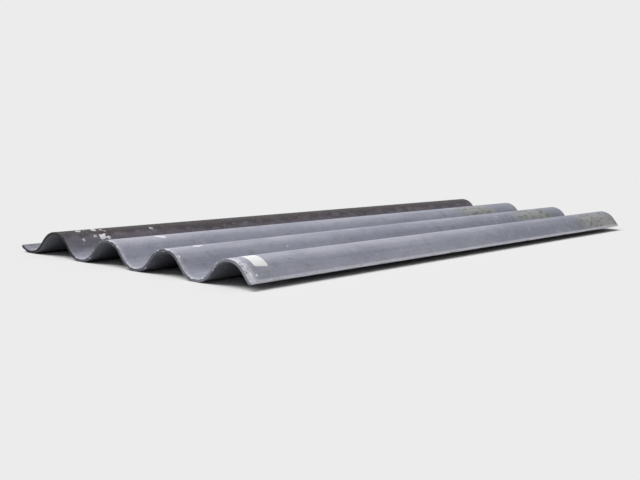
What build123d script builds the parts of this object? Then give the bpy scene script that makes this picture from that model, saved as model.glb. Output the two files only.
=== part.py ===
from build123d import *
import os
from math import asin, cos, degrees, radians, sin, tan

os.makedirs("parts", exist_ok=True)

# Corrugated fibre cement roofing sheet, lying on its troughs.
# Millimetres. +X runs along the waves, +Y from the front edge to the back edge, +Z up.
# The origin is on the floor, under the middle of the sheet.

LENGTH = 1830.0        # along the waves
PITCH = 177.0          # crest to crest
DEPTH = 51.0           # from the top of a trough to the top of a crest
THICKNESS = 6.5
WAVES = 4              # pitches across the sheet, from one long edge to the other
FRONT_EDGE = 57.0      # from the first crest forward to the middle of the front edge
FLANK_ANGLE = 50.0     # slope of the straight flanks, degrees
EDGE_ROUND = 0.8       # softened corners of the cut edges

# One half wave, along the middle of the thickness: a bend, a straight flank, a bend.
# These two are what make its height DEPTH and its width half of PITCH.
slope = radians(FLANK_ANGLE)
FLANK = DEPTH / tan(slope / 2) - PITCH / 2
BEND_RADIUS = (PITCH / 2 - FLANK * cos(slope)) / (2 * sin(slope))

# The underside is half a thickness away: tighter under a crest, wider under a trough.
CREST_RADIUS = BEND_RADIUS - THICKNESS / 2
TROUGH_RADIUS = BEND_RADIUS + THICKNESS / 2

# Both long edges cut the same point of the wave, partway up out of a trough.
from_trough = PITCH / 2 - FRONT_EDGE
EDGE_ANGLE = degrees(asin(from_trough / BEND_RADIUS))
edge_slope = radians(EDGE_ANGLE)
WIDTH = WAVES * PITCH
front_trough = -WIDTH / 2 - from_trough
START = (
    front_trough + TROUGH_RADIUS * sin(edge_slope),
    TROUGH_RADIUS * (1 - cos(edge_slope)),
)

with BuildPart() as corrugated_sheet:
    with BuildSketch(Plane.YZ.offset(-LENGTH / 2)):
        with BuildLine() as underside:
            # The rest of the trough bend that the front edge cuts
            run = JernArc(
                START,
                (cos(edge_slope), sin(edge_slope)),
                TROUGH_RADIUS,
                FLANK_ANGLE - EDGE_ANGLE,
            )
            for wave in range(WAVES):
                run = PolarLine(run @ 1, FLANK, direction=run % 1)
                run = JernArc(run @ 1, run % 1, CREST_RADIUS, -2 * FLANK_ANGLE)
                run = PolarLine(run @ 1, FLANK, direction=run % 1)
                last = wave == WAVES - 1
                turn = FLANK_ANGLE + (EDGE_ANGLE if last else FLANK_ANGLE)
                run = JernArc(run @ 1, run % 1, TROUGH_RADIUS, turn)
            offset(amount=THICKNESS, side=Side.LEFT, closed=True)
        make_face()
    extrude(amount=LENGTH)

    # Round the corners of the two sawn ends and of the two long edges
    ends = corrugated_sheet.faces().filter_by(Axis.X)
    across = corrugated_sheet.faces().sort_by(Axis.Y)
    long_edges = across[0].edges() + across[-1].edges()
    fillet(ends.edges() + long_edges.filter_by(Axis.X), radius=EDGE_ROUND)

corrugated_sheet.part.label = "corrugated_sheet"
export_step(corrugated_sheet.part, "parts/corrugated_sheet.step")
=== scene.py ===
"""A corrugated fibre cement roofing sheet, weathered outdoors, lying on its troughs.

Metres. +X runs along the waves, +Y from the down-turned front edge to the up-turned back edge,
and +Z is up. The near end is the one at -X, and waves are counted from the front edge.
"""

import json
import logging
import math
import random
from abc import ABC, abstractmethod
from collections.abc import Iterable, Iterator, Sequence
from dataclasses import dataclass
from enum import Enum
from typing import Any, ClassVar, NamedTuple

import bpy
from bpy.types import ID, Material, NodeSocket, NodeTree, Object, World
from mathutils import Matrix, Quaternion, Vector, noise
from mathutils.kdtree import KDTree


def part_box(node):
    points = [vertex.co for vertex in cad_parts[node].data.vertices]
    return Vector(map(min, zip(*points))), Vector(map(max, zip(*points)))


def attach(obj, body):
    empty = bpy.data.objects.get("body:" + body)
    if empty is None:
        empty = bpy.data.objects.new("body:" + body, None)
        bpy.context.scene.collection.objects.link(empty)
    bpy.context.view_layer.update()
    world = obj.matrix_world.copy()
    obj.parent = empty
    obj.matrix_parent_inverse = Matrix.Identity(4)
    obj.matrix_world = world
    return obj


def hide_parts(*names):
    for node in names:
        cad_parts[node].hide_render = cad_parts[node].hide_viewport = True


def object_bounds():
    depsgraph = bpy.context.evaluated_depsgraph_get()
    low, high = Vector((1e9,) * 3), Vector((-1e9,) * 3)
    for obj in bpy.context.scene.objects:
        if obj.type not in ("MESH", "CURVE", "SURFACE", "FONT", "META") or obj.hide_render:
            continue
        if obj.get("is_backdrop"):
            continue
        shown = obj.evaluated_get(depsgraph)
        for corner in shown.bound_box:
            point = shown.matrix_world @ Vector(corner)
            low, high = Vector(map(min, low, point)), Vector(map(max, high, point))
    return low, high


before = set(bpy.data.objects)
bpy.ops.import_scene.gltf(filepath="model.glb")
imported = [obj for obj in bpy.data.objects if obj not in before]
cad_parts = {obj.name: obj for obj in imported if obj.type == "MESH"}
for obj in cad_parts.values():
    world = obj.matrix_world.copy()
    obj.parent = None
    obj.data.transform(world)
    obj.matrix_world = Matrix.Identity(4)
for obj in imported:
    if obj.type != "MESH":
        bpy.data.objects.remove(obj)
CAD_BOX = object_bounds()

MM = 0.001
SHEET = "corrugated_sheet"
log = logging.getLogger("roofing_sheet")

# A point of the sheet's lattice: its line along the waves, its line along the section, its level.
Knot = tuple[int, int, int]
# A point on one side of the sheet's skin, and a cell there: lines a0 to a1 and lines b0 to b1.
Spot = tuple[int, int]
Cell = tuple[int, int, int, int]
# A value of the surface, and the two values between which a coat fades in.
Term = tuple[NodeSocket, float, float]
# A coat's hex colour, how much of it shows at most, and the terms that all hold where it shows.
Coat = tuple[str, NodeSocket | float, *tuple[Term, ...]]
# A pattern, and how high it stands where it is 1, in metres.
Bump = tuple[NodeSocket, float]


class Dress(NamedTuple):
    """What a finish gives its shader."""

    ground: str  # the hex colour underneath
    coats: Iterable[Coat]  # from the lowest
    bumps: Iterable[Bump]
    roughness: NodeSocket | float


class Laid(NamedTuple):
    """Where the sheet's surface is, in metres."""

    near: NodeSocket  # from the near end
    run: NodeSocket  # along the section, from the front edge
    z: NodeSocket  # above the floor
    flat: NodeSocket  # the place with the sheet laid out flat


class Grain(NamedTuple):
    """What the upper face's coats go by: its places, its patterns, and places made ragged by them."""

    near: NodeSocket
    run: NodeSocket
    z: NodeSocket
    clouds: NodeSocket  # as broad as a wave
    streaks: NodeSocket  # along the waves
    drips: NodeSocket  # down the flanks
    mottle: NodeSocket
    colonies: NodeSocket  # spots of growth
    chafed: NodeSocket  # small ragged patches
    grit: NodeSocket
    ragged_near: NodeSocket  # also slanted, by the run
    ragged_z: NodeSocket
    on_last_wave: Term  # with a ragged border


def linear(code: str) -> tuple[float, float, float, float]:
    """Turns an sRGB hex colour into the linear colour that shaders take.

    Args:
        code: a colour such as "#9a9ba4".

    Returns:
        Linear red, green and blue, and an alpha of 1.
    """
    parts = [int(code[i : i + 2], 16) / 255 for i in (1, 3, 5)]
    red, green, blue = [p / 12.92 if p <= 0.04045 else ((p + 0.055) / 1.055) ** 2.4 for p in parts]
    return red, green, blue, 1.0


def add_node(
    tree: NodeTree,
    kind: str,
    settings: dict[str, Any] | None = None,
    inputs: dict[str | int, Any] | None = None,
    output: str | int | None = None,
) -> NodeSocket | None:
    """Adds a node with its settings, values and links.

    Args:
        tree: the node tree that gets it.
        kind: Blender's name for the node.
        settings: properties of the node.
        inputs: what goes into its sockets, by name or number: a value, or a socket to link.
        output: the output that is wanted, or None for the first one in use.

    Returns:
        That output, whose node attribute is the node, or None where the node has no output.
    """
    node = tree.nodes.new(kind)
    for name, value in (settings or {}).items():
        setattr(node, name, value)
    for key, value in (inputs or {}).items():
        if isinstance(value, NodeSocket):
            tree.links.new(value, node.inputs[key])
        else:
            node.inputs[key].default_value = value
    if output is None:
        return next((o for o in node.outputs if o.enabled), None)
    return node.outputs[output]


def pattern(
    tree: NodeTree,
    place: NodeSocket,
    blot: tuple[float, float, float],
    seed: float,
    detail: float = 3.0,
    frayed: float = 0.5,
) -> NodeSocket:
    """Makes a cloudy pattern whose blots have a real size.

    Args:
        tree: the material's node tree.
        place: where the surface is, in metres, laid out flat.
        blot: how large a blot is along the waves, across them and through the sheet, in millimetres.
        seed: moves the pattern, so that no two are alike.
        detail: how many finer patterns it also holds.
        frayed: how strong each finer pattern is beside the next coarser one.

    Returns:
        A value from 0 to 1, mostly near 0.5.
    """
    per_blot = tuple(1 / (size * MM) for size in blot)
    moved = {0: place, 1: per_blot, 2: (seed, seed * 1.7, seed * 0.6)}
    counted = add_node(tree, "ShaderNodeVectorMath", {"operation": "MULTIPLY_ADD"}, moved)
    inputs = {"Vector": counted, "Scale": 1.0, "Detail": detail, "Roughness": frayed}
    return add_node(tree, "ShaderNodeTexNoise", {}, inputs)


def summed(tree: NodeTree, start: NodeSocket | float, *parts: tuple[NodeSocket, float]) -> NodeSocket:
    """Adds values up, each times its own factor.

    Args:
        tree: the material's node tree.
        start: what the sum starts from.
        parts: each value that is added, and its factor.

    Returns:
        The sum.
    """
    total = start
    for value, by in parts:
        inputs = {0: value, 1: by, 2: total}
        total = add_node(tree, "ShaderNodeMath", {"operation": "MULTIPLY_ADD"}, inputs)
    return total


def coated(tree: NodeTree, ground: str, coats: Iterable[Coat]) -> NodeSocket:
    """Lays coats of colour over a ground, one after another.

    Args:
        tree: the material's node tree.
        ground: the hex colour underneath.
        coats: the coats, from the lowest. Each term fades a coat in from nothing, as the term's
            value goes from its first number to its second.

    Returns:
        The colour that is seen.
    """
    colour: NodeSocket | tuple[float, ...] = linear(ground)
    for code, shown, *terms in coats:
        for value, start, end in terms:
            fade = {"Value": value, "From Min": start, "From Max": end, "To Min": 0.0, "To Max": shown}
            shown = add_node(tree, "ShaderNodeMapRange", {"interpolation_type": "SMOOTHSTEP"}, fade)
        # The node's inputs 6 and 7 and its output 2 are those for colours
        mixed = {"Factor": shown, 6: colour, 7: linear(code)}
        colour = add_node(tree, "ShaderNodeMix", {"data_type": "RGBA"}, mixed, 2)
    return colour


def emptied(holder: Material | World) -> NodeTree:
    """Clears a material or a world for its own nodes.

    Args:
        holder: what has the nodes.

    Returns:
        Its node tree, with nothing in it.
    """
    holder.use_nodes = True
    holder.node_tree.nodes.clear()
    return holder.node_tree


def put(name: str, data: ID) -> Object:
    """Puts an object into the scene.

    Args:
        name: what it is called.
        data: its mesh, lamp or camera.

    Returns:
        The object.
    """
    made = bpy.data.objects.new(name, data)
    bpy.context.scene.collection.objects.link(made)
    return made


def put_mesh(
    name: str, points: Sequence[Iterable[float]], faces: Sequence[Sequence[int]], *materials: Material
) -> Object:
    """Puts a smooth mesh into the scene.

    Args:
        name: what it is called.
        points: its points.
        faces: the numbers of the points round each face.
        materials: one for each slot.

    Returns:
        The object.
    """
    mesh = bpy.data.meshes.new(name)
    mesh.from_pydata(points, [], faces)
    mesh.shade_smooth()
    for material in materials:
        mesh.materials.append(material)
    return put(name, mesh)


class Finish(ABC):
    """A finish that light doesn't pass through."""

    name: ClassVar[str]
    ior: float

    @abstractmethod
    def dressed(self, tree: NodeTree) -> Dress:
        """Lays the finish's colours and relief.

        Args:
            tree: the material's node tree.

        Returns:
            Ground, coats, bumps and roughness.
        """

    def material(self) -> Material:
        """Makes the material.

        Returns:
            A material with one shader, dressed in the finish.
        """
        made = bpy.data.materials.new(self.name)
        tree = emptied(made)
        dress = self.dressed(tree)
        bump = {"Strength": 1.0, "Distance": 1.0, "Height": summed(tree, 0.0, *dress.bumps)}
        inputs = {
            "Base Color": coated(tree, dress.ground, dress.coats),
            "Normal": add_node(tree, "ShaderNodeBump", {}, bump),
            "Roughness": dress.roughness,
            "IOR": self.ior,
        }
        shader = add_node(tree, "ShaderNodeBsdfPrincipled", {}, inputs)
        add_node(tree, "ShaderNodeOutputMaterial", {}, {"Surface": shader})
        return made


@dataclass(frozen=True)
class WaveSection:
    """The sheet's section across its waves, followed along the middle of its thickness.

    Half a wave is a bend, a straight flank and a bend the other way. A place on the section is
    given by its run, the distance from the front edge along the section.
    """

    pitch: float = 177 * MM
    depth: float = 51 * MM
    thickness: float = 6.5 * MM
    waves: int = 4
    front_edge: float = 57 * MM  # from the first crest forward to the middle of the front edge
    flank_angle: float = math.radians(50)

    @property
    def flank(self) -> float:
        """How long each straight flank is."""
        return self.depth / math.tan(self.flank_angle / 2) - self.pitch / 2

    @property
    def bend(self) -> float:
        """The radius of every bend."""
        level = self.pitch / 2 - self.flank * math.cos(self.flank_angle)
        return level / (2 * math.sin(self.flank_angle))

    @property
    def wave_run(self) -> float:
        """How far one whole wave runs."""
        return 4 * self.bend * self.flank_angle + 2 * self.flank

    @property
    def whole_run(self) -> float:
        """How far the section runs from its front edge to its back edge."""
        return self.waves * self.wave_run

    @property
    def lead(self) -> float:
        """How far the section runs from its front edge up to the first crest."""
        past_trough = math.asin((self.pitch / 2 - self.front_edge) / self.bend)
        return self.wave_run / 2 - self.bend * past_trough

    def crest(self, wave: int) -> float:
        """The run at the top of a wave, counted from 1."""
        return self.lead + (wave - 1) * self.wave_run

    def trough(self, wave: int) -> float:
        """The run at the bottom of the trough behind a wave."""
        return self.crest(wave) + self.wave_run / 2

    def at(self, run: float) -> tuple[float, float, float]:
        """Follows the section.

        Args:
            run: how far along it.

        Returns:
            y and z there, and the slope's angle, which is positive where the section rises.
        """
        wave, along = divmod(run - self.lead, self.wave_run)
        rising = along > self.wave_run / 2
        if rising:
            along = self.wave_run - along
        # The half wave's lower half is its upper half turned round
        lower = along > self.wave_run / 4
        if lower:
            along = self.wave_run / 2 - along
        slope = min(along / self.bend, self.flank_angle)
        straight = max(along - self.bend * self.flank_angle, 0.0)
        out = self.bend * math.sin(slope) + straight * math.cos(slope)
        drop = self.bend * (1 - math.cos(slope)) + straight * math.sin(slope)
        if lower:
            out, drop = self.pitch / 2 - out, self.depth - drop
        first_crest = self.front_edge - self.waves * self.pitch / 2
        y = first_crest + wave * self.pitch + (self.pitch - out if rising else out)
        z = self.thickness / 2 + self.depth - drop
        return y, z, slope if rising else -slope

    def point(self, x: float, run: float, through: float) -> Vector:
        """A place in the sheet.

        Args:
            x: along the waves.
            run: along the section.
            through: -1 on the underside, 0 in the middle and 1 on the upper face.

        Returns:
            The point.
        """
        y, z, slope = self.at(run)
        off = through * self.thickness / 2
        return Vector((x, y - math.sin(slope) * off, z + math.cos(slope) * off))

    def run_beside(self, wave: int, aside: float) -> float:
        """Finds the place on the upper face beside a crest, as far down as its flanks go.

        Args:
            wave: the wave, counted from 1.
            aside: how far from its crest, seen from above, positive towards the back.

        Returns:
            The run there.
        """
        outer = self.bend + self.thickness / 2
        slope = math.asin(min(abs(aside) / outer, math.sin(self.flank_angle)))
        straight = (abs(aside) - outer * math.sin(slope)) / math.cos(slope)
        return self.crest(wave) + math.copysign(self.bend * slope + straight, aside)


@dataclass(frozen=True)
class Stations:
    """Where the sheet's mesh has its lines in one direction: close together near both edges."""

    length: float
    by_edge: tuple[float, ...]  # distances from an edge in millimetres, the first of them 0
    spans: int  # even spans in between
    gathered: int  # how many of those a coarse cell takes

    @property
    def zone(self) -> int:
        """How many narrow cells lie by each edge."""
        return len(self.by_edge) - 1

    @property
    def last(self) -> int:
        """The number of the last line."""
        return 2 * self.zone + self.spans

    def places(self) -> list[float]:
        """Places the lines.

        Returns:
            The distance of each line from the first edge.
        """
        edge = [d * MM for d in self.by_edge]
        step = (self.length - 2 * edge[-1]) / self.spans
        middle = [edge[-1] + step * n for n in range(1, self.spans)]
        return [*edge, *middle, *(self.length - d for d in reversed(edge))]

    def edge_cells(self) -> list[tuple[int, int]]:
        """The narrow cells by both edges."""
        return [(n, n + 1) for n in [*range(self.zone), *range(self.zone + self.spans, self.last)]]

    def middle_cells(self, size: int) -> list[tuple[int, int]]:
        """The cells between the edge zones, each taking this many spans."""
        return [(n, n + size) for n in range(self.zone, self.zone + self.spans, size)]


class Skin(Enum):
    """The sheet's kinds of surface, by the number of their material slot."""

    WEATHERED = 0
    UNDERSIDE = 1
    SAWN = 2
    BROKEN = 3


@dataclass(frozen=True)
class Chip:
    """A flake broken off an edge: the sheet ends where a ball of air begins."""

    centre: Vector
    radius: float


@dataclass
class PressedSheet:
    """The sheet as it is made: one solid, pressed to its waves, then sawn, chipped and uneven."""

    section: WaveSection
    length: float
    edge_round: float = 0.8 * MM
    end_lines: tuple[float, ...] = (0, 0.8, 2, 3.4, 5, 7, 9.5, 12.5, 16)  # from a sawn end, mm
    edge_lines: tuple[float, ...] = (0, 0.8, 2.2, 4, 6, 8.5, 11.5)  # from a long edge, mm
    skin_depth: float = 0.2 * MM  # how far the upper face's hollows lie below the highest spots
    felt: tuple[float, float] = (260 * MM, 55 * MM)  # how large its broad hollows are
    dents: tuple[float, float] = (70 * MM, 32 * MM)
    end_wander: float = 0.5 * MM  # how far the saw strays
    wander_fades: float = 60 * MM
    swing: float = 140 * MM  # how far apart the saw's slow swings are
    burr: float = 9 * MM
    crumb: float = 1.8 * MM  # the lumps of a broken face
    lumpy: float = 0.14  # how high they are, as a share of the chip's radius
    flake: tuple[float, float] = (2 * MM, 9 * MM)  # a chip's radius, smallest and largest
    bitten: tuple[float, float] = (0.35 * MM, 1.65 * MM)  # how deep it cuts the corner
    seed: int = 7

    def build(self) -> Object:
        """Builds and dresses the sheet.

        Returns:
            The sheet.
        """
        along = Stations(self.length, self.end_lines, spans=600, gathered=6)
        run = Stations(self.section.whole_run, self.edge_lines, spans=552, gathered=3)
        corner = 1 - self.edge_round / (self.section.thickness / 2)
        levels = [-1.0, -corner, -0.25, 0.25, corner, 1.0]
        xs = [d - self.length / 2 for d in along.places()]
        runs = run.places()
        last = (along.last, run.last, len(levels) - 1)
        knots: dict[Knot, int] = {}
        faces: list[list[int]] = []
        skins: list[Skin] = []
        for skin, ring in self.rings(along, run, last[2]):
            faces.append([knots.setdefault(knot, len(knots)) for knot in ring])
            skins.append(skin)
        places = [(xs[a], runs[b], levels[c]) for a, b, c in knots]
        points = [self.shaped(*both, last) for both in zip(knots, places, strict=True)]
        broken = self.chip(points)
        # Nothing stands out of the solid's box
        low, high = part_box(SHEET)
        for p in points:
            p.x, p.y, p.z = (min(max(v, a), b) for v, a, b in zip(p, low, high, strict=True))
        sheet = put_mesh(SHEET + "_pressed", points, faces)
        for polygon, skin, face in zip(sheet.data.polygons, skins, faces, strict=True):
            raw = sum(v in broken for v in face) * 2 > len(face)
            polygon.material_index = (Skin.BROKEN if raw else skin).value
        # The finishes go by where a point lies on an exact sheet
        for name, way in (("across", 1), ("through", 2)):
            layer = sheet.data.attributes.new(name, "FLOAT", "POINT")
            layer.data.foreach_set("value", [place[way] for place in places])
        sheet.data.validate()
        self.dress(sheet)
        return sheet

    def dress(self, sheet: Object) -> None:
        """Gives each kind of surface its finish, and the sheet the place of its plain solid.

        Args:
            sheet: the sheet, bare.
        """
        finishes: dict[Skin, type[FibreCement]] = {
            Skin.WEATHERED: WeatheredFace,
            Skin.UNDERSIDE: FeltFace,
            Skin.SAWN: SawnEdge,
            Skin.BROKEN: BrokenPaste,
        }
        for skin in Skin:
            sheet.data.materials.append(finishes[skin](self.section, self.length).material())
        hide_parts(SHEET)
        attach(sheet, "root")

    def rings(self, along: Stations, run: Stations, top: int) -> Iterator[tuple[Skin, list[Knot]]]:
        """Goes round every face of the sheet's skin, counter-clockwise from outside.

        Args:
            along: the lines along the waves.
            run: the lines along the section.
            top: the number of the uppermost level.

        Yields:
            The kind of surface, and the lattice points round the face.
        """
        every_run = run.edge_cells() + run.middle_cells(1)
        every_x = along.edge_cells() + along.middle_cells(1)
        zones = (
            (along.edge_cells(), every_run),
            (along.middle_cells(1), run.edge_cells()),
            (along.middle_cells(along.gathered), run.middle_cells(run.gathered)),
        )
        cells: list[Cell] = [(*a, *b) for firsts, seconds in zones for a in firsts for b in seconds]
        used = {(a, b) for a0, a1, b0, b1 in cells for a in (a0, a1) for b in (b0, b1)}
        for cell in cells:
            for face in self.split(cell, [spot for spot in self.sides(cell) if spot in used]):
                yield Skin.WEATHERED, [(a, b, top) for a, b in face]
                yield Skin.UNDERSIDE, [(a, b, 0) for a, b in reversed(face)]
        for level in range(top):
            for b in every_run:
                ring = self.sides((*b, level, level + 1))
                yield Skin.SAWN, [(along.last, *spot) for spot in ring]
                yield Skin.SAWN, [(0, *spot) for spot in reversed(ring)]
            for a in every_x:
                ring = self.sides((*a, level, level + 1))
                yield Skin.SAWN, [(x, 0, k) for x, k in ring]
                yield Skin.SAWN, [(x, run.last, k) for x, k in reversed(ring)]

    @staticmethod
    def sides(cell: Cell) -> list[Spot]:
        """Goes round a cell, counter-clockwise.

        Args:
            cell: the cell.

        Returns:
            The lattice points on its sides.
        """
        a0, a1, b0, b1 = cell
        there = [(a, b0) for a in range(a0, a1)] + [(a1, b) for b in range(b0, b1)]
        back = [(a, b1) for a in range(a1, a0, -1)] + [(a0, b) for b in range(b1, b0, -1)]
        return there + back

    @staticmethod
    def split(cell: Cell, ring: list[Spot]) -> list[list[Spot]]:
        """Splits a cell that has more than its corners into triangles round its middle.

        Args:
            cell: the cell.
            ring: the points on its sides that the cells beside it use.

        Returns:
            The points round each face.
        """
        if len(ring) == 4:
            return [ring]
        a0, a1, b0, b1 = cell
        middle = ((a0 + a1) // 2, (b0 + b1) // 2)
        return [[middle, *side] for side in zip(ring, ring[1:] + ring[:1], strict=True)]

    def shaped(self, knot: Knot, place: tuple[float, float, float], last: Knot) -> Vector:
        """Puts a lattice point on the real sheet, whose corners are soft and whose cuts stray.

        Args:
            knot: the point.
            place: its x, run and level on an exact sheet.
            last: the last lattice point.

        Returns:
            Where it is.
        """
        ends = [-1 if n == 0 else 1 if n == final else 0 for n, final in zip(knot, last, strict=True)]
        sides = sum(map(abs, ends))
        inward = (1 - 1 / math.sqrt(max(sides, 1))) * self.edge_round
        x, run, level = place
        x -= ends[0] * inward + math.copysign(self.stray(x, run), x)
        run -= ends[1] * inward
        level -= ends[2] * inward / (self.section.thickness / 2)
        point = self.section.point(x, run, level)
        hollow = self.hollow(x, run) * max(level, 0.0)
        return point - self.upward(run) * hollow

    def stray(self, x: float, run: float) -> float:
        """How far inwards the saw strayed, fading out away from the end.

        Args:
            x: along the waves.
            run: along the section.

        Returns:
            The distance, end_wander at most.
        """
        fade = max(0.0, 1 - (self.length / 2 - abs(x)) / self.wander_fades)
        end = math.copysign(9.0, x)  # puts each end in its own part of the noise
        swing = 0.5 + 0.5 * noise.noise(Vector((run / self.swing, end, 0)))
        burr = 0.5 + 0.5 * noise.noise(Vector((run / self.burr, end, 5)))
        return self.end_wander * fade * (0.75 * swing + 0.25 * burr)

    def hollow(self, x: float, run: float) -> float:
        """How far the upper face lies below its highest spots.

        Args:
            x: along the waves.
            run: along the section.

        Returns:
            The depth, skin_depth at most.
        """
        felt = noise.noise(Vector((x / self.felt[0], run / self.felt[1], 3)))
        dent = noise.noise(Vector((x / self.dents[0], run / self.dents[1], 8)))
        return self.skin_depth * (0.5 + 0.32 * felt + 0.18 * dent)

    def upward(self, run: float) -> Vector:
        """The upper face's outward direction."""
        slope = self.section.at(run)[2]
        return Vector((0, -math.sin(slope), math.cos(slope)))

    def spot(self, wave: int, near: float, aside: float) -> tuple[float, float]:
        """The x and the run of a place beside a crest, so far from the near end."""
        return near - self.length / 2, self.section.run_beside(wave, aside)

    def laid_on(self, middle: tuple[float, float], turn: float, a: float, b: float, lift: float) -> Vector:
        """A point of something thin that lies on the upper face, kept inside the CAD box.

        Args:
            middle: the x and the run of the thing's middle.
            turn: of its length, from along the waves towards the back.
            a: from its middle, along its length.
            b: from its middle, across its length.
            lift: how far above the face as it really lies.

        Returns:
            The point.
        """
        x = middle[0] + a * math.cos(turn) - b * math.sin(turn)
        run = middle[1] + a * math.sin(turn) + b * math.cos(turn)
        point = self.section.point(x, run, 1) + self.upward(run) * (lift - self.hollow(x, run))
        point.z = min(point.z, CAD_BOX[1].z)
        return point

    def chips(self) -> Iterator[Chip]:
        """The flakes that handling broke off the sawn ends and the long edges.

        Yields:
            Each chip. The near end has most and the largest, on its upper corner.
        """
        draw = random.Random(self.seed)
        whole = self.section.whole_run
        half = self.length / 2
        for end, side, count, rarity in ((-1, 1, 95, 1.5), (-1, -1, 50, 3), (1, 1, 45, 3), (1, -1, 40, 3)):
            for _ in range(count):
                run = draw.uniform(0, whole)
                corner = self.section.point(end * half, run, side)
                outward = Vector((end, 0, 0)) * draw.uniform(0.3, 1.1) + self.upward(run) * side
                yield self.bite(draw, corner, outward, rarity)
        for run, side, count in ((0.0, 1, 60), (0.0, -1, 40), (whole, 1, 50), (whole, -1, 30)):
            inside = abs(run - 1 * MM)  # 1 mm in from this edge
            away = self.section.point(0, run, 0) - self.section.point(0, inside, 0)
            for _ in range(count):
                corner = self.section.point(draw.uniform(-half, half), run, side)
                outward = away.normalized() * draw.uniform(0.5, 1.2) + self.upward(run) * side
                yield self.bite(draw, corner, outward, 3)

    def bite(self, draw: random.Random, corner: Vector, outward: Vector, rarity: float) -> Chip:
        """One flake: most are small, and a few are large.

        Args:
            draw: where the chances come from.
            corner: the place on the sharp edge.
            outward: away from the sheet there.
            rarity: how rare large flakes are, from 1, where all sizes are as common.

        Returns:
            The chip.
        """
        size = draw.random() ** rarity
        radius, deep = (low + (high - low) * size for low, high in (self.flake, self.bitten))
        return Chip(corner + outward.normalized() * (radius - deep), radius)

    def chip(self, points: list[Vector]) -> set[int]:
        """Breaks the chips off, by moving points in place.

        Args:
            points: the sheet's points.

        Returns:
            The numbers of the points that now lie on broken faces.
        """
        tree = KDTree(len(points))
        for n, p in enumerate(points):
            tree.insert(p, n)
        tree.balance()
        broken = set()
        for chip in self.chips():
            for _, n, _ in tree.find_range(chip.centre, chip.radius * (1 + self.lumpy)):
                ray = points[n] - chip.centre
                reach = chip.radius * (1 + self.lumpy * noise.noise(points[n] / self.crumb))
                if ray.length < reach:
                    points[n] = chip.centre + ray.normalized() * reach
                    broken.add(n)
        return broken


@dataclass(frozen=True)
class FibreCement(Finish):
    """Grey Portland cement paste bound with fine fibres, formed wet on a felt and cured in air.

    It never shines: bare it is chalky and pale grey, and it shows grit where it is broken.
    """

    section: WaveSection
    length: float
    roughness: float = 0.85  # typical of cured cement paste
    ior: float = 1.52

    def laid(self, tree: NodeTree) -> Laid:
        """Finds where the surface is.

        Args:
            tree: the material's node tree.

        Returns:
            The place, in the ways that the finishes need it.
        """
        place = add_node(tree, "ShaderNodeTexCoord", output="Object")
        ways = add_node(tree, "ShaderNodeSeparateXYZ", inputs={"Vector": place}).node.outputs
        run = add_node(tree, "ShaderNodeAttribute", {"attribute_name": "across"}, output="Fac")
        through = add_node(tree, "ShaderNodeAttribute", {"attribute_name": "through"}, output="Fac")
        level = summed(tree, 0.0, (through, self.section.thickness / 2))
        near = summed(tree, self.length / 2, (ways["X"], 1.0))
        flat = add_node(tree, "ShaderNodeCombineXYZ", inputs={"X": near, "Y": run, "Z": level})
        return Laid(near, run, ways["Z"], flat)

    def on_last_wave(self, run: NodeSocket, past: float, fade: float) -> Term:
        """The term for a coat on the last wave only, which starts so far past the trough before it."""
        start = self.section.trough(self.section.waves - 1) + past
        return run, start, start + fade


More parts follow.
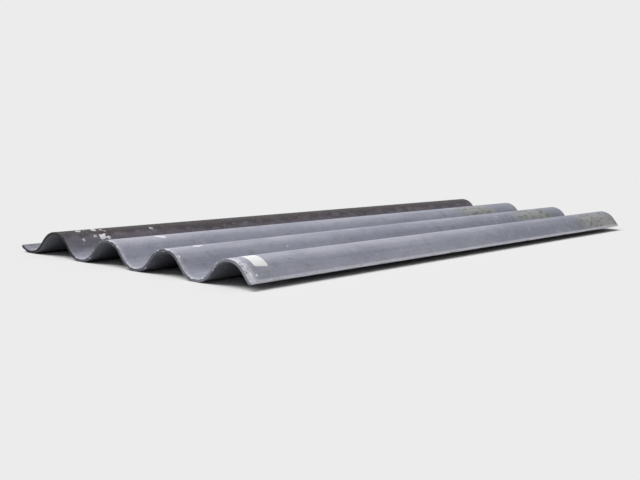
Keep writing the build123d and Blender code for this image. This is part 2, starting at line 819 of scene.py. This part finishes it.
@dataclass(frozen=True)
class WeatheredFace(FibreCement):
    """The upper face, pressed smooth, after years outdoors.

    Dust whitens the crests, rain draws streaks along the waves and leaves dirt in the troughs,
    lichen and algae grow near the far end, and the last wave is black-brown with settled grime.
    """

    name: ClassVar[str] = "weathered_fibre_cement_face"
    cement: str = "#9d9faf"
    cement_light: str = "#adafbd"
    streak: str = "#858896"
    dust: str = "#c3c2cd"
    shade: str = "#7a7d8b"
    dirt: str = "#8b8a8a"
    lichen: str = "#aaaaa7"
    algae: str = "#5a6156"
    grime: str = "#696169"
    grime_dark: str = "#383236"
    scuff: str = "#e5e6ef"

    def dressed(self, tree: NodeTree) -> Dress:
        """Lays the face's colours and relief.

        Args:
            tree: the material's node tree.

        Returns:
            Ground, coats, bumps and roughness.
        """
        grain = self.grain(tree)
        coats = (
            *self.cement_coats(grain),
            *self.growth_coats(grain),
            *self.grime_coats(grain),
            *self.scuff_coats(grain),
        )
        bumps = ((grain.grit, 0.15 * MM), (grain.mottle, 0.3 * MM), (grain.streaks, 0.08 * MM))
        roughness = summed(tree, self.roughness - 0.15, (grain.mottle, 0.2))
        return Dress(self.cement, coats, bumps, roughness)

    def grain(self, tree: NodeTree) -> Grain:
        """Makes the face's patterns.

        Args:
            tree: the material's node tree.

        Returns:
            What the coats go by.
        """
        near, run, z, flat = self.laid(tree)
        thick = self.section.thickness / MM
        clouds = pattern(tree, flat, (260, 60, thick), seed=1.3, detail=4.0)
        mottle = pattern(tree, flat, (34, 18, thick), seed=7.7, detail=5.0)
        ragged_run = summed(tree, run, (mottle, 30 * MM))
        return Grain(
            near,
            run,
            z,
            clouds=clouds,
            streaks=pattern(tree, flat, (900, 7, thick), seed=4.1),
            drips=pattern(tree, flat, (22, 120, thick), seed=27.1, detail=2.0),
            mottle=mottle,
            colonies=pattern(tree, flat, (30, 15, thick), seed=15.3, detail=7.0, frayed=0.68),
            chafed=pattern(tree, flat, (9, 7, thick), seed=17.9, detail=6.0, frayed=0.72),
            # Sand in the paste is about 0.5 mm, drawn five times as coarse so that it shows
            grit=pattern(tree, flat, (2.5, 2.5, thick), seed=11.9, detail=2.0),
            ragged_near=summed(tree, near, (run, 0.3), (clouds, 160 * MM), (mottle, 80 * MM)),
            ragged_z=summed(tree, z, (clouds, 20 * MM), (mottle, 30 * MM)),
            on_last_wave=self.on_last_wave(ragged_run, 15 * MM, 14 * MM),
        )

    def cement_coats(self, grain: Grain) -> list[Coat]:
        """The cement's tones, darker along the front waves and at the far end, its dust, and the dirt in
        its troughs.

        Args:
            grain: what the coats go by.

        Returns:
            The coats, from the lowest.
        """
        on_front_waves = (grain.run, self.section.trough(2), self.section.trough(1))
        onward = (grain.near, 400 * MM, 1500 * MM)
        far = (grain.near, self.length - 450 * MM, self.length - 80 * MM)
        nearer = (grain.near, 1600 * MM, 0.0)
        on_crests = (grain.z, 44 * MM, 57 * MM)
        in_troughs = (grain.z, 20 * MM, 8 * MM)
        return [
            (self.cement_light, 1.0, (grain.clouds, 0.32, 0.68)),
            (self.streak, 0.35, (grain.streaks, 0.5, 0.72)),
            # Darker towards the far end on the first two waves, and at the far end on all waves
            (self.shade, 0.45, onward, on_front_waves),
            (self.shade, 0.5, far),
            (self.dirt, 0.5, (grain.mottle, 0.52, 0.72)),
            (self.dust, 0.4, (grain.mottle, 0.45, 0.25)),
            (self.dust, 0.5, on_crests, nearer, (grain.clouds, 0.3, 0.6)),
            (self.dirt, 0.35, in_troughs, (grain.streaks, 0.35, 0.65)),
            (self.streak, 0.6, (grain.grit, 0.55, 0.72)),
            (self.dust, 0.6, (grain.grit, 0.42, 0.28)),
        ]

    def growth_coats(self, grain: Grain) -> list[Coat]:
        """Lichen and algae in a ragged patch near the far end, which slants away from that end.

        Args:
            grain: what the coats go by.

        Returns:
            The coats, from the lowest.
        """
        start = self.length - 170 * MM
        end = self.length + 125 * MM
        near = grain.ragged_near
        patch = ((near, start, start + 100 * MM), (near, end, end - 60 * MM))
        before = ((near, start - 150 * MM, start), (near, start + 100 * MM, start))
        spots = ((grain.colonies, 0.46, 0.6), (grain.chafed, 0.42, 0.54))
        off_crest = (grain.z, 62 * MM, 50 * MM)
        return [
            (self.algae, 0.35, *before, (grain.drips, 0.48, 0.64), off_crest),
            (self.lichen, 0.85, *patch, off_crest, (grain.mottle, 0.8, 0.5)),
            (self.algae, 0.8, *patch, *spots),
        ]

    def grime_coats(self, grain: Grain) -> list[Coat]:
        """The last wave's grime, darkest on its crest, thinner at the near end, flecked with dust.

        Args:
            grain: what the coats go by.

        Returns:
            The coats, from the lowest.
        """
        there, z = grain.on_last_wave, grain.ragged_z
        low_at_near = ((grain.near, 150 * MM, 10 * MM), (z, 84 * MM, 60 * MM))
        return [
            (self.grime, 0.95, there, (z, 32 * MM, 62 * MM)),
            (self.grime_dark, 1.0, there, (z, 62 * MM, 78 * MM)),
            (self.shade, 0.35, there, *low_at_near),
            (self.dust, 0.3, there, (grain.grit, 0.42, 0.3)),
        ]

    def scuff_coats(self, grain: Grain) -> list[Coat]:
        """Pale scuffs by the near end and broad on the first wave, and a pale line by the front edge,
        partly wear and partly painted highlight.

        Args:
            grain: what the coats go by.

        Returns:
            The coats, from the lowest.
        """
        ragged_run, start, end = grain.on_last_wave
        before_last = (ragged_run, end, start)
        first_trough = self.section.trough(1)
        on_first_wave = (grain.run, first_trough, first_trough - 20 * MM)
        rubbed = ((grain.near, 34 * MM, 9 * MM), (grain.z, 64 * MM, 52 * MM))
        rim = (grain.near, 14 * MM, 3 * MM)
        front_rim_wear_and_highlight = (grain.run, 7 * MM, 2 * MM)
        corner = ((grain.run, 15 * MM, 5 * MM), (grain.near, 20 * MM, 6 * MM))
        return [
            (self.scuff, 0.5, before_last, rim, (grain.chafed, 0.4, 0.52)),
            (self.scuff, 1.0, on_first_wave, *rubbed, (grain.chafed, 0.4, 0.5)),
            # Partly wear, partly painted highlight: a pale line along the front edge
            (self.scuff, 0.6, front_rim_wear_and_highlight, (grain.chafed, 0.3, 0.5)),
            (self.scuff, 0.9, *corner),
        ]


@dataclass(frozen=True)
class FeltFace(FibreCement):
    """The underside, which lay on the felt: rougher, with pale specks of lime, and darker, partly its own
    tone and partly painted shade.
    """

    name: ClassVar[str] = "felt_marked_fibre_cement_underside"
    # Darker than the bare cement: partly the felt side's own tone, partly painted shade under the arches
    cement: str = "#696a72"
    damp: str = "#51525b"
    lime: str = "#b1b2b8"

    def dressed(self, tree: NodeTree) -> Dress:
        """Lays the underside's colours and relief.

        Args:
            tree: the material's node tree.

        Returns:
            Ground, coats, bumps and roughness.
        """
        flat = self.laid(tree).flat
        thick = self.section.thickness / MM
        stains = pattern(tree, flat, (180, 60, thick), seed=21.0, detail=4.0)
        specks = pattern(tree, flat, (5, 5, thick), seed=23.0, detail=2.0)
        # The felt's weave is about 1.5 mm, drawn twice as coarse so that it shows
        inputs = {"Vector": flat, "Scale": 1 / (3 * MM), "Randomness": 0.25}
        weave = add_node(tree, "ShaderNodeTexVoronoi", {"distance": "CHEBYCHEV"}, inputs)
        coats = ((self.damp, 1.0, (stains, 0.35, 0.65)), (self.lime, 0.7, (specks, 0.66, 0.74)))
        bumps = ((weave, 0.15 * MM), (stains, 0.4 * MM))
        return Dress(self.cement, coats, bumps, summed(tree, self.roughness, (stains, 0.1)))


@dataclass(frozen=True)
class SawnEdge(FibreCement):
    """Where the sheet was sawn: pale thin layers with fibre ends, which damp dirt and painted shade have
    darkened.

    The dirt lies on both ends, and painted shade makes them blacker the further back.
    """

    name: ClassVar[str] = "sawn_fibre_cement_edge"
    paste: str = "#ebecf3"
    layer: str = "#cfd0da"
    fibre: str = "#f4f4f8"
    stain: str = "#9a9ba6"
    dirt: str = "#797a84"
    # Dark dirt, and painted shade on the ends
    soot_and_shade: str = "#3a3b44"
    grime: str = "#1b191c"

    def dressed(self, tree: NodeTree) -> Dress:
        """Lays the cut's colours and relief.

        Args:
            tree: the material's node tree.

        Returns:
            Ground, coats, bumps and roughness.
        """
        near, run, _, flat = self.laid(tree)
        half = self.length / 2
        off_middle = summed(tree, -half, (near, 1.0))
        from_middle = add_node(tree, "ShaderNodeMath", {"operation": "ABSOLUTE"}, {0: off_middle})
        at_end = (from_middle, half - 6 * MM, half - 2 * MM)
        # The wet sheet is wound up from films about 0.9 mm thick
        films = pattern(tree, flat, (50, 50, 0.9), seed=31.0, detail=2.0)
        ends = pattern(tree, flat, (1.6, 1.6, 1.2), seed=33.0, detail=2.0)
        stains = pattern(tree, flat, (40, 28, 5), seed=35.0)
        nicks = pattern(tree, flat, (5, 5, 2), seed=37.0, detail=4.0, frayed=0.65)
        wave_run = self.section.wave_run
        inner = self.section.crest(1) + wave_run / 4
        coats = (
            (self.layer, 1.0, (films, 0.4, 0.6)),
            (self.stain, 0.55, (stains, 0.5, 0.7)),
            # Partly stain, partly painted shade: the sawn faces behind the first wave are darker
            (self.stain, 0.3, (run, inner, inner + 60 * MM)),
            (self.fibre, 0.8, (ends, 0.6, 0.7)),
            (self.dirt, 0.95, at_end, (stains, 0.15, 0.4)),
            (self.soot_and_shade, 0.3, at_end, (films, 0.45, 0.65)),
            # Painted shade: the ends grow blacker towards the back, past the first wave
            (self.soot_and_shade, 0.7, at_end, (run, inner, inner + wave_run * 0.6)),
            (self.layer, 0.55, at_end, (nicks, 0.58, 0.68)),
            (self.grime, 0.95, self.on_last_wave(run, 0.0, 40 * MM)),
        )
        bumps = ((films, 0.12 * MM), (ends, 0.2 * MM))
        return Dress(self.paste, coats, bumps, summed(tree, self.roughness, (ends, 0.15)))


@dataclass(frozen=True)
class BrokenPaste(FibreCement):
    """Where a flake broke off: raw paste, pale and gritty, except under the last wave's grime."""

    name: ClassVar[str] = "broken_fibre_cement"
    paste: str = "#eeeff5"
    grit: str = "#bcbdc7"
    grime: str = "#3c383c"

    def dressed(self, tree: NodeTree) -> Dress:
        """Lays the break's colours and relief.

        Args:
            tree: the material's node tree.

        Returns:
            Ground, coats, bumps and roughness.
        """
        laid = self.laid(tree)
        crumbs = pattern(tree, laid.flat, (1.8, 1.8, 1.8), seed=61.0)
        coats = (
            (self.grit, 0.7, (crumbs, 0.5, 0.62)),
            (self.grime, 0.85, self.on_last_wave(laid.run, 0.0, 40 * MM)),
        )
        return Dress(self.paste, coats, [(crumbs, 0.35 * MM)], self.roughness)


@dataclass(frozen=True)
class Paper(Finish):
    """Coated white label paper: smooth and bright, dusted after some time outdoors."""

    name: ClassVar[str] = "coated_label_paper"
    white: str = "#fefefe"
    dust: str = "#f0f0ef"
    roughness: float = 0.5
    ior: float = 1.5

    def dressed(self, tree: NodeTree) -> Dress:
        """Lays the paper's colours and relief.

        Args:
            tree: the material's node tree.

        Returns:
            Ground, coats, bumps and roughness.
        """
        place = add_node(tree, "ShaderNodeTexCoord", output="Object")
        smudge = pattern(tree, place, (14, 9, 9), seed=41.0)
        # Paper fibres are far under 1 mm, drawn as coarse as they need to be to show
        fibres = pattern(tree, place, (1.2, 1.2, 1.2), seed=43.0)
        coats = [(self.dust, 1.0, (smudge, 0.5, 0.8))]
        return Dress(self.white, coats, [(fibres, 0.02 * MM)], self.roughness)


@dataclass
class BlankLabel:
    """A blank paper label stuck over the first crest, near the near end."""

    sheet: PressedSheet
    from_near: float = 60 * MM  # its middle, from the near end
    aside: float = -8.6 * MM  # its middle, in front of the crest
    width: float = 39 * MM  # along the waves
    height: float = 63.5 * MM  # over the crest
    turn: float = math.radians(-6)
    corner: float = 2.5 * MM
    thickness: float = 0.15 * MM
    curl: float = 0.5 * MM  # how far its corners have let go

    def build(self) -> Object:
        """Builds the label.

        Returns:
            The label.
        """
        steps_x, steps_y = 18, 24
        middle = self.sheet.spot(1, self.from_near, self.aside)
        points = []
        for j in range(steps_y + 1):
            for i in range(steps_x + 1):
                a = (i / steps_x - 0.5) * self.width
                b = (j / steps_y - 0.5) * self.height
                a, b = self.rounded(a, b)
                loose = (abs(2 * a / self.width) * abs(2 * b / self.height)) ** 6
                lift = self.thickness + self.curl * loose
                points.append(self.sheet.laid_on(middle, self.turn, a, b, lift))
        row = steps_x + 1
        faces = [
            (n, n + 1, n + row + 1, n + row)
            for j in range(steps_y)
            for n in range(j * row, j * row + steps_x)
        ]
        label = put_mesh("blank_label", points, faces, Paper().material())
        thick = label.modifiers.new("paper", "SOLIDIFY")
        thick.thickness = self.thickness
        thick.offset = -1.0
        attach(label, "root")
        return label

    def rounded(self, a: float, b: float) -> tuple[float, float]:
        """Draws a point of the label's square corner in to its round one.

        Args:
            a: from the middle, along the width.
            b: from the middle, along the height.

        Returns:
            The point moved.
        """
        over_a = abs(a) - (self.width / 2 - self.corner)
        over_b = abs(b) - (self.height / 2 - self.corner)
        if over_a <= 0 or over_b <= 0:
            return a, b
        cut = 1 - max(over_a, over_b) / math.hypot(over_a, over_b)
        return a - math.copysign(over_a * cut, a), b - math.copysign(over_b * cut, b)


@dataclass(frozen=True)
class ChalkyWaste(Finish):
    """Dried bird droppings: chalk-white and dead matte, with a grey core, greyer where worn."""

    name: ClassVar[str] = "dried_bird_droppings"
    white: str = "#f8f8fe"
    core: str = "#cbcad2"
    worn: str = "#8f8b93"
    roughness: float = 0.95
    ior: float = 1.45

    def dressed(self, tree: NodeTree) -> Dress:
        """Lays the droppings' colours and relief.

        Args:
            tree: the material's node tree.

        Returns:
            Ground, coats, bumps and roughness.
        """
        place = add_node(tree, "ShaderNodeTexCoord", output="Object")
        blots = pattern(tree, place, (7, 7, 7), seed=51.0)
        crumbs = pattern(tree, place, (2, 2, 2), seed=53.0)
        worn = add_node(tree, "ShaderNodeAttribute", {"attribute_name": "worn"}, output="Fac")
        coats = ((self.core, 0.6, (blots, 0.57, 0.68)), (self.worn, worn))
        return Dress(self.white, coats, [(crumbs, 0.3 * MM)], self.roughness)


@dataclass(frozen=True)
class Splash:
    """One dropping, as it lies on the upper face. Millimetres and degrees."""

    wave: int
    near: float  # its middle, from the near end
    aside: float  # its middle, from the wave's crest, negative towards the front
    long: float
    wide: float
    turn: float  # of its length, from along the waves towards the back
    worn: float = 0.0  # how far the rain has washed it off, 1 at most


@dataclass
class BirdDroppings:
    """The droppings on the sheet, joined in one mesh: thin, low and ragged."""

    sheet: PressedSheet
    rise: float = 0.45 * MM
    sunk: float = 0.1 * MM  # how far the closed underside lies in the sheet
    rings: int = 5
    spokes: int = 30
    fleck_long: tuple[float, float] = (1.5, 3.5)  # in millimetres, as the splashes are
    fleck_wide: tuple[float, float] = (1.2, 2.5)
    bare_rim: float = 4.0  # no fleck's middle lies nearer to the near end
    seed: int = 19

    splashes: tuple[Splash, ...] = (
        Splash(4, 58, -8, 17, 11, 15, 0.4),
        Splash(4, 103, -8.5, 14, 20, -10, 0.35),
        Splash(4, 122, -12, 9, 8, 60, 0.5),
        Splash(4, 128, -19, 6, 5, 0, 0.5),
        Splash(4, 51, -39, 10, 8, 80, 0.4),
        Splash(4, 89, -33, 10, 8, 30, 0.5),
        Splash(4, 110, -36, 20, 16, -15),
        Splash(4, 125, -38, 13, 9, -10),
        Splash(4, 117, -31, 8, 6, 45),
        Splash(4, 271, -23, 16, 9, 0, 0.6),
        Splash(3, 148, -11, 30, 14, -32),
        Splash(2, 9, -34, 7, 5, 60),
        Splash(2, 94, -3, 36, 15, 12, 0.2),
        Splash(2, 348, -39, 8, 5, 0, 0.3),
        Splash(1, 14.5, -48, 12, 8, 75),
        Splash(1, 29.5, -49, 7, 6, 70),
    )

    def build(self) -> Object:
        """Builds the droppings.

        Returns:
            The joined droppings.
        """
        draw = random.Random(self.seed)
        points: list[Vector] = []
        faces: list[tuple[int, ...]] = []
        worn: list[float] = []
        for splash in self.splashes:
            self.blob(points, faces, splash, draw.uniform(0, 100))
            for _ in range(draw.randint(1, 3)):
                fleck = Splash(
                    splash.wave,
                    splash.near + draw.gauss(0, splash.long * 0.8),
                    splash.aside + draw.gauss(0, splash.wide * 0.6),
                    draw.uniform(*self.fleck_long),
                    draw.uniform(*self.fleck_wide),
                    draw.uniform(0, 180),
                )
                if fleck.near > self.bare_rim:
                    self.blob(points, faces, fleck, draw.uniform(0, 100))
            worn += [splash.worn] * (len(points) - len(worn))
        droppings = put_mesh("bird_droppings", points, faces, ChalkyWaste().material())
        layer = droppings.data.attributes.new("worn", "FLOAT", "POINT")
        layer.data.foreach_set("value", worn)
        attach(droppings, "root")
        return droppings

    def blob(
        self, points: list[Vector], faces: list[tuple[int, ...]], splash: Splash, chance: float
    ) -> None:
        """Adds one low, ragged blob.

        Args:
            points: the mesh's points, which grow.
            faces: its faces, which grow.
            splash: the blob's place and size.
            chance: what makes its outline its own.
        """
        middle = self.sheet.spot(splash.wave, splash.near * MM, splash.aside * MM)
        turn = math.radians(splash.turn)
        first = len(points)
        for ring in range(self.rings + 1):
            out = ring / self.rings
            for spoke in range(self.spokes if ring else 1):
                angle = math.tau * spoke / self.spokes
                # Broad bulges and small lobes: noise on two circles
                ragged = noise.noise(Vector((math.cos(angle) * 1.6, math.sin(angle) * 1.6, chance)))
                lobes = noise.noise(Vector((math.cos(angle) * 4, math.sin(angle) * 4, chance + 7)))
                reach = out * (1 + (0.5 * ragged + 0.3 * lobes) * out)
                a = reach * math.cos(angle) * splash.long / 2 * MM
                b = reach * math.sin(angle) * splash.wide / 2 * MM
                lump = 0.7 + 0.6 * noise.noise(Vector((a, b, chance * MM)) / (3 * MM))
                lift = self.rise * lump * (1 - out**2) if ring < self.rings else -self.sunk
                points.append(self.sheet.laid_on(middle, turn, a, b, lift))
        under = len(points)
        points.append(self.sheet.laid_on(middle, turn, 0.0, 0.0, -self.sunk))
        rim = under - self.spokes
        for spoke in range(self.spokes):
            after = (spoke + 1) % self.spokes
            faces.append((first, first + 1 + spoke, first + 1 + after))
            faces.append((under, rim + after, rim + spoke))
            for ring in range(self.rings - 1):
                inner = first + 1 + ring * self.spokes
                outer = inner + self.spokes
                faces.append((inner + spoke, outer + spoke, outer + after, inner + after))


@dataclass(frozen=True)
class BackdropPaper:
    """Uncoated backdrop paper: fully matte, so the floor renders as pale as it is written."""

    pale: str = "#ececec"

    def material(self) -> Material:
        """Makes the material.

        Returns:
            A material with one matte shader.
        """
        made = bpy.data.materials.new("matte_backdrop_paper")
        tree = emptied(made)
        matte = add_node(tree, "ShaderNodeBsdfDiffuse", {}, {"Color": linear(self.pale)})
        add_node(tree, "ShaderNodeOutputMaterial", {}, {"Surface": matte})
        return made


@dataclass
class Studio:
    """A plain pale floor without end, a soft lamp overhead, an even dome and the camera."""

    paper: BackdropPaper = BackdropPaper()
    floor_size: float = 60.0
    key_share: float = 0.78  # of the light on level ground, from the lamp
    key_lean: float = math.radians(30)  # from straight overhead
    key_side: float = math.radians(135)  # from +X towards +Y: over the near end and the back
    key_softness: float = math.radians(45)
    camera_place: tuple[float, float, float] = (-2.380, -1.647, 0.3395)
    camera_aim: tuple[float, float, float] = (-0.3406, -0.0788, 0.03)
    camera_roll: float = math.radians(2.1)  # the camera's top leans to its left
    lens: float = 58.0  # on a sensor 36 mm wide

    def build(self) -> None:
        """Builds the floor, the light and the camera."""
        self.floor()
        self.dome()
        self.key()
        self.camera()

    def floor(self) -> None:
        """Lays the floor."""
        half = self.floor_size / 2
        corners = [(-half, -half, 0), (half, -half, 0), (half, half, 0), (-half, half, 0)]
        put_mesh("floor", corners, [(0, 1, 2, 3)], self.paper.material())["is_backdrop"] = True

    def dome(self) -> None:
        """Lights the scene evenly from all round, and shows the camera and gloss the floor's colour."""
        world = bpy.data.worlds.new("even_dome")
        bpy.context.scene.world = world
        tree = emptied(world)
        rays = add_node(tree, "ShaderNodeLightPath").node.outputs
        seen = rays["Is Camera Ray"]
        for ray in ("Is Glossy Ray", "Is Transmission Ray"):
            seen = add_node(tree, "ShaderNodeMath", {"operation": "MAXIMUM"}, {0: seen, 1: rays[ray]})
        dim = {"Color": linear("#ffffff"), "Strength": 1 - self.key_share}
        light = add_node(tree, "ShaderNodeBackground", {}, dim)
        shown = add_node(tree, "ShaderNodeBackground", {}, {"Color": linear(self.paper.pale)})
        mixed = add_node(tree, "ShaderNodeMixShader", {}, {0: seen, 1: light, 2: shown})
        add_node(tree, "ShaderNodeOutputWorld", {}, {"Surface": mixed})

    def key(self) -> None:
        """Hangs the soft lamp so that it and the dome together light level ground at exactly 1."""
        lamp = bpy.data.lights.new("key", "SUN")
        lamp.energy = math.pi * self.key_share / math.cos(self.key_lean)
        lamp.angle = self.key_softness
        put("key", lamp).rotation_euler = (0, self.key_lean, self.key_side)

    def camera(self) -> None:
        """Puts the camera at the photograph's place, on a longer lens, so that the sheet fills it."""
        data = bpy.data.cameras.new("camera")
        data.lens = self.lens
        data.sensor_width = 36.0
        camera = put("camera", data)
        camera.location = self.camera_place
        sight = Vector(self.camera_aim) - Vector(self.camera_place)
        roll = Quaternion((0, 0, 1), self.camera_roll)
        camera.rotation_mode = "QUATERNION"
        camera.rotation_quaternion = sight.to_track_quat("-Z", "Y") @ roll
        bpy.context.scene.camera = camera


def main() -> None:
    """Builds the sheet and what is on it, then the studio."""
    logging.basicConfig(level=logging.INFO, format="%(name)s: %(message)s")
    bpy.context.scene.view_settings.view_transform = "Standard"
    low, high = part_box(SHEET)
    sheet = PressedSheet(WaveSection(), high.x - low.x)
    for part in (sheet, BlankLabel(sheet), BirdDroppings(sheet)):
        piece = part.build()
        log.info("%s: %d faces", piece.name, len(piece.data.polygons))
    Studio().build()
    boxes = {"cad": CAD_BOX, "visual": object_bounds()}
    json.dumps({name: [list(v) for v in box] for name, box in boxes.items()})


if __name__ == "__main__":
    main()
